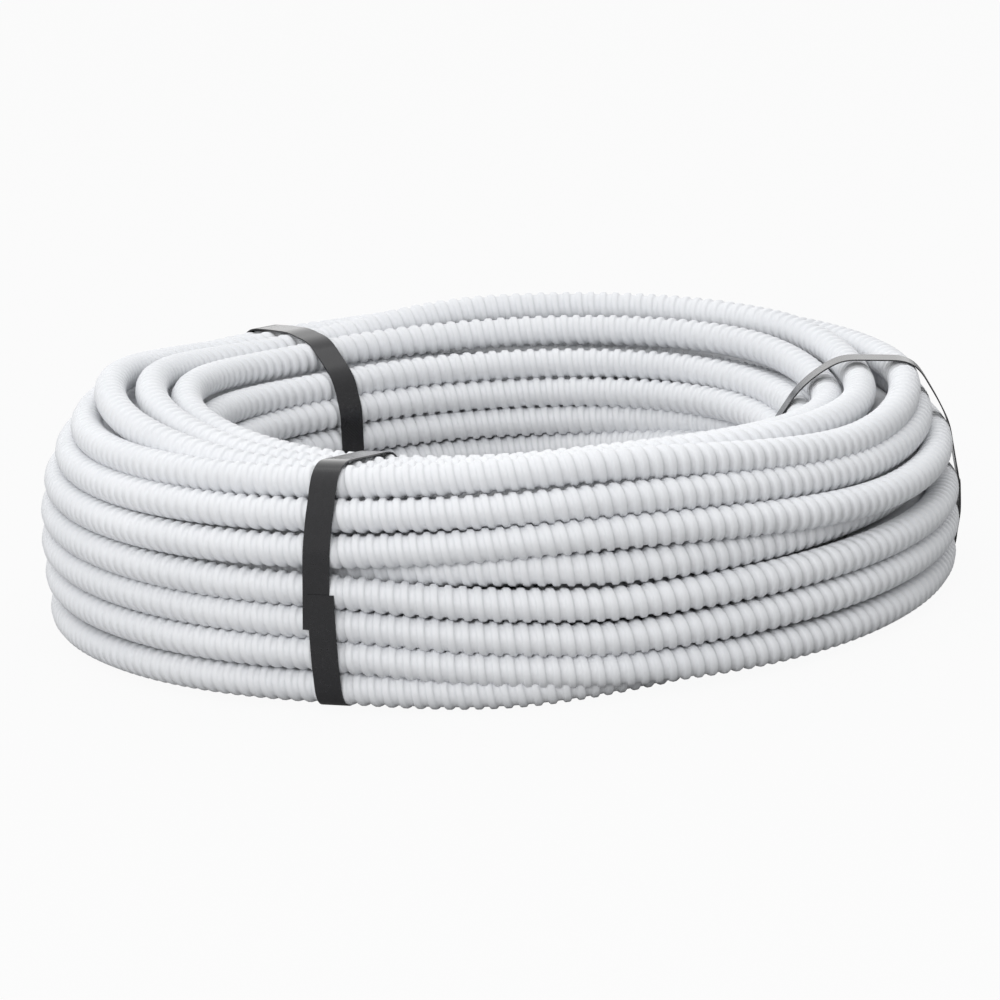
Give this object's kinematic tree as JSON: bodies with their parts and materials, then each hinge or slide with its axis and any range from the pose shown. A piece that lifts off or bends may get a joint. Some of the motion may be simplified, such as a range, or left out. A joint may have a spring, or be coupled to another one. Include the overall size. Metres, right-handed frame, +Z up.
{
  "type": "flexible conduit coil",
  "caption": "Coil of light grey spiral-ribbed flexible plastic conduit lying flat, bound by black plastic straps, sold as stock for drawing cables through.",
  "frame": {"origin": "on the axis of the coil, level with the undersides of the straps that it lies on", "axes": "+Z up along the coil's axis; -Y towards the front, with the front strap left of it; +X towards the right strap"},
  "size_m": [0.5519, 0.55, 0.1355],
  "materials": {
    "conduit_plastic": "light grey satin moulded plastic",
    "strap_plastic": "black satin embossed strapping"
  },
  "bodies": {
    "root": {"conduit_coil": "conduit_plastic", "strap_front": "strap_plastic", "strap_back": "strap_plastic", "strap_right": "strap_plastic"}
  },
  "joints": []
}
